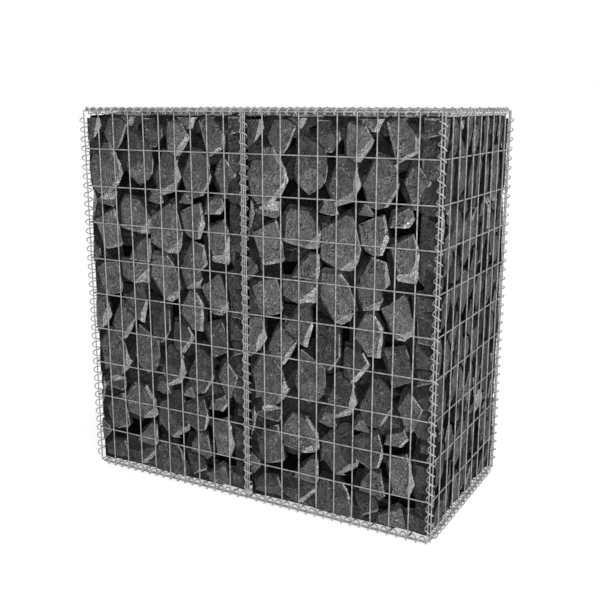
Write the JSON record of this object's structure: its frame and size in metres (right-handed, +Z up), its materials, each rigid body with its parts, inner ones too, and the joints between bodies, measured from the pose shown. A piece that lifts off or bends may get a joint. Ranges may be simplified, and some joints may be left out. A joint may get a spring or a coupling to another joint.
{
  "type": "gabion wall",
  "caption": "Free-standing gabion wall of welded wire baskets laced with spiral binders, each bay filled with broken stone.",
  "frame": {"origin": "middle of the footprint, on the ground under the lowest binder turns", "axes": "+X along the wall to the right as seen from the front, +Y to the back, +Z up"},
  "size_m": [1.0364, 0.5306, 1.0208],
  "materials": {
    "mesh_wire": "galvanised",
    "binder_wire": "galvanised",
    "stone": "rough broken"
  },
  "bodies": {
    "root": {"front_panel_left": "mesh_wire", "front_panel_right": "mesh_wire", "back_panel_left": "mesh_wire", "back_panel_right": "mesh_wire", "end_panel_left": "mesh_wire", "end_panel_right": "mesh_wire", "divider_panel": "mesh_wire", "base_panel_left": "mesh_wire", "base_panel_right": "mesh_wire", "lid_panel_left": "mesh_wire", "lid_panel_right": "mesh_wire", "front_left_corner_binder": "binder_wire", "front_right_corner_binder": "binder_wire", "back_left_corner_binder": "binder_wire", "back_right_corner_binder": "binder_wire", "front_joint_binder": "binder_wire", "back_joint_binder": "binder_wire", "front_left_base_binder": "binder_wire", "front_right_base_binder": "binder_wire", "back_left_base_binder": "binder_wire", "back_right_base_binder": "binder_wire", "left_end_base_binder": "binder_wire", "right_end_base_binder": "binder_wire", "divider_base_binder": "binder_wire", "front_left_lid_binder": "binder_wire", "front_right_lid_binder": "binder_wire", "back_left_lid_binder": "binder_wire", "back_right_lid_binder": "binder_wire", "left_end_lid_binder": "binder_wire", "right_end_lid_binder": "binder_wire", "divider_lid_binder": "binder_wire", "stone_fill_left": "stone", "stone_fill_right": "stone"}
  },
  "joints": []
}
